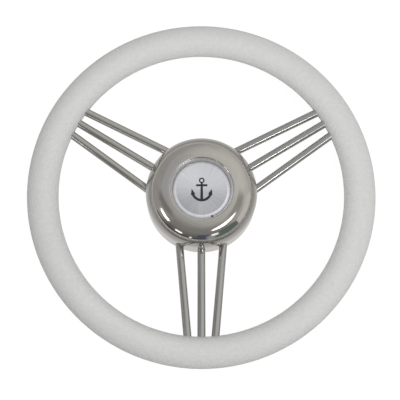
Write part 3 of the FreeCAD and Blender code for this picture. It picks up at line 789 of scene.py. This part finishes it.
class WHEEL_OT_finish_disc(bpy.types.Operator):
    """Brush the centre disc, with painted light and shade in its colour, and set a plain anchor in enamel
    on it
    """

    bl_idname = "wheel.finish_disc"
    bl_label = "Finish centre disc"

    def execute(self, context):
        settings = context.scene.wheel_disc
        dress("badge_disc", brushed_disc_finish(settings))
        unit = settings.emblem_height / EMBLEM_UNITS
        thick = settings.emblem_relief + EMBLEM_SINK
        level = DISC_FACE + settings.emblem_relief - thick / 2
        solids = anchor_solids(unit, thick, level)
        emblem = weld_solids("center_emblem", solids, enamel_finish(settings), 0.04 * unit)
        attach(emblem, BODY)
        return {"FINISHED"}


class WHEEL_OT_finish_inside(bpy.types.Operator):
    """Finish the boss, the carrier, the rim ring, the plug and its rubber ring"""

    bl_idname = "wheel.finish_inside"
    bl_label = "Finish inner pieces"

    def execute(self, context):
        turned = machined_finish("turned steel", record_colour("turned_steel"), 0.3, 1800.0)
        for name in ("hub_boss", "spoke_carrier", "rim_ring"):
            dress(name, turned)
        dress("center_cap", moulded_plastic_finish("moulded plug", record_colour("black_plastic")))
        dress("cap_o_ring", rubber_finish("black rubber", record_colour("black_rubber")))
        return {"FINISHED"}


class WHEEL_OT_finish_back(bpy.types.Operator):
    """Finish the moulded back cover and its screws"""

    bl_idname = "wheel.finish_back"
    bl_label = "Finish back cover"

    def execute(self, context):
        dress("rear_cover", moulded_plastic_finish("moulded cover", record_colour("black_plastic")))
        screws = machined_finish("screw steel", record_colour("screw_steel"), 0.26, 2600.0)
        dress("rear_cover_screws", screws)
        return {"FINISHED"}


# Stage


def show_only_in_reflections(thing):
    """Keeps a stage piece out of the picture and out of the light, but in the metal's reflections."""
    thing.visible_camera = False
    thing.visible_diffuse = False
    thing.visible_transmission = False
    thing.visible_volume_scatter = False
    thing.visible_shadow = False


def direction(azimuth, elevation):
    """Unit vector at an azimuth and an elevation in degrees."""
    around = math.radians(azimuth)
    up = math.radians(elevation)
    return Vector((math.cos(up) * math.cos(around), math.cos(up) * math.sin(around), math.sin(up)))


def seen_rays(tree):
    """Adds a mask that is 1 for rays from the camera, from gloss and through glass."""
    ray = new_node(tree, "ShaderNodeLightPath", -600, 300)
    seen = calculate(tree, "MAXIMUM", -300, 300, ray.outputs["Is Camera Ray"],
                     ray.outputs["Is Glossy Ray"])
    return calculate(tree, "MAXIMUM", -100, 300, seen, ray.outputs["Is Transmission Ray"])


def mixed(tree, x, y, share, first, second):
    """Adds a Mix Shader node that goes from a first shader to a second, and returns its output."""
    node = new_node(tree, "ShaderNodeMixShader", x, y)
    for socket, value in zip(node.inputs, (share, first, second)):
        tree.links.new(value, socket)
    return node.outputs["Shader"]


def glowing(name, colour, strength):
    """Makes a material that glows evenly, and returns material, tree and glow."""
    material = bpy.data.materials.new(name)
    material.use_nodes = True
    tree = material.node_tree
    tree.nodes.clear()
    output = new_node(tree, "ShaderNodeOutputMaterial", 700, 0)
    glow = new_node(tree, "ShaderNodeEmission", 0, 0)
    set_inputs(glow, Color=colour, Strength=strength)
    tree.links.new(glow.outputs["Emission"], output.inputs["Surface"])
    material.cycles.emission_sampling = "NONE"
    return material, tree, glow


def clear_by(tree, surface, share):
    """Lets a stage material be clear by a share from 0 to 1."""
    clear = new_node(tree, "ShaderNodeBsdfTransparent", 0, -200)
    output = next(node for node in tree.nodes if node.type == "OUTPUT_MATERIAL")
    partly = mixed(tree, 500, 0, share, surface, clear.outputs["BSDF"])
    tree.links.new(partly, output.inputs["Surface"])


def clear_from_below(tree, surface):
    """Lets a stage material be clear where its lower side is seen."""
    side = new_node(tree, "ShaderNodeNewGeometry", 0, 300)
    clear_by(tree, surface, side.outputs["Backfacing"])


def stage_object(shape, name, material):
    """Turns a bmesh into a stage object."""
    thing = new_piece(shape, name, material)
    return thing


def lay_floor(settings):
    """Lays the pale floor: it shows white with a faint shadow, and is clear from below."""
    grid = bmesh.new()
    bmesh.ops.create_grid(grid, x_segments=1, y_segments=1, size=FLOOR_HALF_WIDTH)
    bmesh.ops.translate(grid, vec=(0, 0, CAD_BOX[0].z - FLOOR_GAP), verts=grid.verts[:])
    material, tree, glow = glowing("pale floor", WHITE, FLOOR_GLOW)
    paint = new_node(tree, "ShaderNodeBsdfDiffuse", 0, 150)
    set_inputs(paint, Color=settings.floor_colour)
    share = calculate(tree, "MULTIPLY", 100, 300, seen_rays(tree), FLOOR_GLOW_SHARE)
    bright = mixed(tree, 300, 0, share, paint.outputs["BSDF"], glow.outputs["Emission"])
    clear_from_below(tree, bright)
    stage_object(grid, "floor", material)


def near_side_mask(tree, points, x, y):
    """Adds a mask that is 1 on the dark near side of the studio, and returns it."""
    flat = vector_math(tree, x - 400, y, "MULTIPLY", points, (1.0, 1.0, 0.0))
    facing = vector_math(tree, x - 200, y, "NORMALIZE", flat)
    near = vector_math(tree, x, y, "DOT_PRODUCT", facing, direction(NEAR_SIDE_AZIMUTH, 0))
    return ranged(tree, x + 200, y, near, 0.5, 0.72, 0.0, 1.0)


def hang_tent():
    """Hangs the tent that the polished steel mirrors: lit at the far right, dark at the near side."""
    ball = bmesh.new()
    bmesh.ops.create_uvsphere(ball, u_segments=48, v_segments=24, radius=STUDIO_RADIUS)
    lower = [vertex for vertex in ball.verts if vertex.co.z < -0.01]
    bmesh.ops.delete(ball, geom=lower, context="VERTS")
    material, tree, glow = glowing("tent cloth", (1.0, 0.985, 0.955, 1.0), 1.0)
    points = object_points(tree, -1900, 0)
    outward = vector_math(tree, -1700, 0, "NORMALIZE", points)
    lit = vector_math(tree, -1500, 200, "DOT_PRODUCT", outward, direction(*LIT_SIDE))
    lit = ranged(tree, -1300, 200, lit, 0.25, 1.0, 0.0, 1.0)
    lit = calculate(tree, "POWER", -1100, 200, lit, 1.7)
    folds = noise_of(tree, -1500, -300, outward, 3.2, 2.0, 0.5)
    folds = ranged(tree, -1300, -300, folds, 0.3, 0.7, -0.035, 0.035)
    level = calculate(tree, "MULTIPLY_ADD", -900, 100, lit, 0.34, 0.4)
    level = calculate(tree, "ADD", -700, 0, level, folds)
    height = split(tree, -1500, -600, outward)[2]
    low = ranged(tree, -1100, -700, height, 0.74, 0.95, 1.0, 0.0)
    dim = ranged(tree, -700, -800, height, 0.0, 0.6, NEAR_SIDE_LEVEL, 0.28)
    near_side = near_side_mask(tree, points, -900, -600)
    dark = calculate(tree, "MULTIPLY", -500, -400, near_side, low)
    tree.links.new(shifted(tree, -300, 0, level, dim, dark), glow.inputs["Strength"])
    show_only_in_reflections(stage_object(ball, "studio_tent", material))


def hang_card(name, azimuth, elevation, width, height, colour, strength, tilt=0.0, distance=2.3,
              fade=0.1, square=4.0):
    """Hangs a glowing card that faces the wheel, its width and height in degrees as the wheel sees it.

    Its outer part, a share given by fade, grows clear towards the edge. Square is 2 for an oval and more
    for a shape nearer to a rectangle. A strong card is sampled as a lamp, which keeps specks off the grip.
    """
    card = bmesh.new()
    card.loops.layers.uv.new("card")
    bmesh.ops.create_grid(card, x_segments=1, y_segments=1, size=0.5, calc_uvs=True)
    wide = 2 * distance * math.tan(math.radians(width / 2))
    high = 2 * distance * math.tan(math.radians(height / 2))
    bmesh.ops.scale(card, vec=(wide, high, 1.0), verts=card.verts[:])
    outward = direction(azimuth, elevation)
    turn = outward.to_track_quat("Z", "Y").to_matrix()
    roll = Matrix.Rotation(math.radians(tilt), 3, "Z")
    bmesh.ops.rotate(card, cent=(0, 0, 0), matrix=turn @ roll, verts=card.verts[:])
    bmesh.ops.translate(card, vec=outward * distance, verts=card.verts[:])
    material, tree, glow = glowing(f"{name} cloth", colour, strength)
    if strength > STRONG_GLOW:
        material.cycles.emission_sampling = "FRONT_BACK"
    points = new_node(tree, "ShaderNodeTexCoord", -1500, 0).outputs["UV"]
    shares = []
    for part in split(tree, -1300, 0, points)[:2]:
        share = calculate(tree, "MULTIPLY_ADD", -1100, 0, part, 2.0, -1.0)
        share = calculate(tree, "ABSOLUTE", -900, 0, share)
        shares.append(calculate(tree, "POWER", -700, 0, share, square))
    reach = calculate(tree, "ADD", -500, 0, *shares)
    reach = calculate(tree, "POWER", -350, 0, reach, 1.0 / square)
    edge = ranged(tree, -200, -200, reach, 1.0 - fade, 1.0, 0.0, 1.0, soft=True)
    clear_by(tree, glow.outputs["Emission"], edge)
    show_only_in_reflections(stage_object(card, name, material))


def lay_ground_card():
    """Lays the card that the steel mirrors below: light close by, dark far off on the near side."""
    card = bmesh.new()
    bmesh.ops.create_circle(card, cap_ends=True, segments=64, radius=STUDIO_RADIUS)
    bmesh.ops.translate(card, vec=(0, 0, CAD_BOX[0].z - GROUND_CARD_GAP), verts=card.verts[:])
    material, tree, glow = glowing("ground card cloth", (1.0, 0.99, 0.97, 1.0), 1.0)
    points = object_points(tree, -1900, 0)
    reach = vector_math(tree, -1500, 200, "LENGTH", points)
    level = ranged(tree, -1100, 200, reach, 0.07, 0.16, 0.66, 0.4)
    far = ranged(tree, -1100, -100, reach, 0.15, 0.22, 0.0, 1.0)
    near_side = near_side_mask(tree, points, -900, -400)
    dark = calculate(tree, "MULTIPLY", -500, -200, near_side, far)
    tree.links.new(shifted(tree, -300, 0, level, NEAR_SIDE_LEVEL, dark), glow.inputs["Strength"])
    clear_from_below(tree, glow.outputs["Emission"])
    show_only_in_reflections(stage_object(card, "ground_card", material))


def hang_lamp(name, place, size, power, colour, aim=(0.0, 0.0, 0.0), spread=180.0):
    """Hangs a square soft lamp that faces a point on the wheel and stays out of its reflections."""
    lamp = bpy.data.lights.new(name, "AREA")
    lamp.shape = "SQUARE"
    lamp.size = size
    lamp.energy = power
    lamp.color = colour
    lamp.spread = math.radians(spread)
    holder = bpy.data.objects.new(name, lamp)
    holder.location = place
    holder.rotation_euler = (Vector(place) - Vector(aim)).to_track_quat("Z", "Y").to_euler()
    holder.visible_glossy = False
    holder.visible_camera = False
    bpy.context.scene.collection.objects.link(holder)


def light_sky(settings):
    """Sets the even sky: white where it is seen, and a plain level where it lights the wheel."""
    world = bpy.data.worlds.new("studio sky")
    bpy.context.scene.world = world
    world.use_nodes = True
    tree = world.node_tree
    tree.nodes.clear()
    output = new_node(tree, "ShaderNodeOutputWorld", 600, 0)
    seen_sky = new_node(tree, "ShaderNodeBackground", 0, -150)
    set_inputs(seen_sky, Color=WHITE, Strength=1.0)
    soft_sky = new_node(tree, "ShaderNodeBackground", 0, 50)
    set_inputs(soft_sky, Color=(1.0, 0.995, 0.98, 1.0), Strength=settings.sky_level)
    both = mixed(tree, 300, 0, seen_rays(tree), soft_sky.outputs["Background"],
                 seen_sky.outputs["Background"])
    tree.links.new(both, output.inputs["Surface"])


def place_camera(settings):
    """Places the camera at the driver's side, above the wheel and slightly towards the bottom spoke."""
    camera = bpy.data.cameras.new("camera")
    camera.lens = settings.lens
    camera.sensor_width = 36.0
    camera.clip_start = 0.05
    camera.clip_end = 50.0
    holder = bpy.data.objects.new("camera", camera)
    holder.location = CAMERA_PLACE
    holder.rotation_euler = [math.radians(turn) for turn in CAMERA_TURN]
    bpy.context.scene.collection.objects.link(holder)
    bpy.context.scene.camera = holder


class WHEEL_OT_set_stage(bpy.types.Operator):
    """Lay the floor, hang the tent, cards and lamps, and place the camera"""

    bl_idname = "wheel.set_stage"
    bl_label = "Set stage"

    def execute(self, context):
        settings = context.scene.wheel_stage
        lay_floor(settings)
        hang_tent()
        lay_ground_card()
        for *card, options in CARDS:
            hang_card(*card, **options)
        hang_lamp("key_lamp", (0.55, -0.18, 1.7), 1.0, 14.6 * settings.lamp_level, (0.98, 0.985, 1.0))
        hang_lamp("fill_lamp", (-0.085, -0.147, 0.13), 0.08, 0.066 * settings.lamp_level, (1.0, 1.0, 1.0),
                  aim=(0.085, 0.147, 0.045), spread=110.0)
        light_sky(settings)
        place_camera(settings)
        context.scene.view_settings.view_transform = "Standard"
        return {"FINISHED"}


class WHEEL_PT_finishing(bpy.types.Panel):
    """Lists the wheel's finishing steps with their sizes and colours"""

    bl_idname = "WHEEL_PT_finishing"
    bl_label = "Boat wheel"
    bl_space_type = "VIEW_3D"
    bl_region_type = "UI"
    bl_category = "Boat wheel"

    def draw(self, context):
        scene = context.scene
        steps = (
            ("Surface effects", None, ("wheel.surface_effects",)),
            ("Grip", scene.wheel_grip, ("wheel.finish_grip",)),
            ("Steel", scene.wheel_steel, ("wheel.finish_bars", "wheel.finish_cover")),
            ("Centre disc", scene.wheel_disc, ("wheel.finish_disc",)),
            ("Inside and back", None, ("wheel.finish_inside", "wheel.finish_back")),
            ("Stage", scene.wheel_stage, ("wheel.set_stage",)),
        )
        for title, settings, operators in steps:
            box = self.layout.box()
            box.label(text=title)
            if settings is not None:
                for name in settings.__annotations__:
                    box.prop(settings, name)
            for operator in operators:
                box.operator(operator)


CLASSES = (
    WheelGripSettings,
    WheelSteelSettings,
    WheelDiscSettings,
    WheelStageSettings,
    WHEEL_OT_surface_effects,
    WHEEL_OT_finish_grip,
    WHEEL_OT_finish_bars,
    WHEEL_OT_finish_cover,
    WHEEL_OT_finish_disc,
    WHEEL_OT_finish_inside,
    WHEEL_OT_finish_back,
    WHEEL_OT_set_stage,
    WHEEL_PT_finishing,
)


def register():
    """Registers the settings, operators and panel."""
    for kind in CLASSES:
        bpy.utils.register_class(kind)
    bpy.types.Scene.wheel_grip = bpy.props.PointerProperty(type=WheelGripSettings)
    bpy.types.Scene.wheel_steel = bpy.props.PointerProperty(type=WheelSteelSettings)
    bpy.types.Scene.wheel_disc = bpy.props.PointerProperty(type=WheelDiscSettings)
    bpy.types.Scene.wheel_stage = bpy.props.PointerProperty(type=WheelStageSettings)


def unregister():
    """Takes the settings, operators and panel away again."""
    del bpy.types.Scene.wheel_stage
    del bpy.types.Scene.wheel_disc
    del bpy.types.Scene.wheel_steel
    del bpy.types.Scene.wheel_grip
    for kind in reversed(CLASSES):
        bpy.utils.unregister_class(kind)


def main():
    """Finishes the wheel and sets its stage."""
    register()
    bpy.ops.wheel.surface_effects()
    bpy.ops.wheel.finish_grip()
    bpy.ops.wheel.finish_bars()
    bpy.ops.wheel.finish_cover()
    bpy.ops.wheel.finish_disc()
    bpy.ops.wheel.finish_inside()
    bpy.ops.wheel.finish_back()
    bpy.ops.wheel.set_stage()


if __name__ == "__main__":
    main()
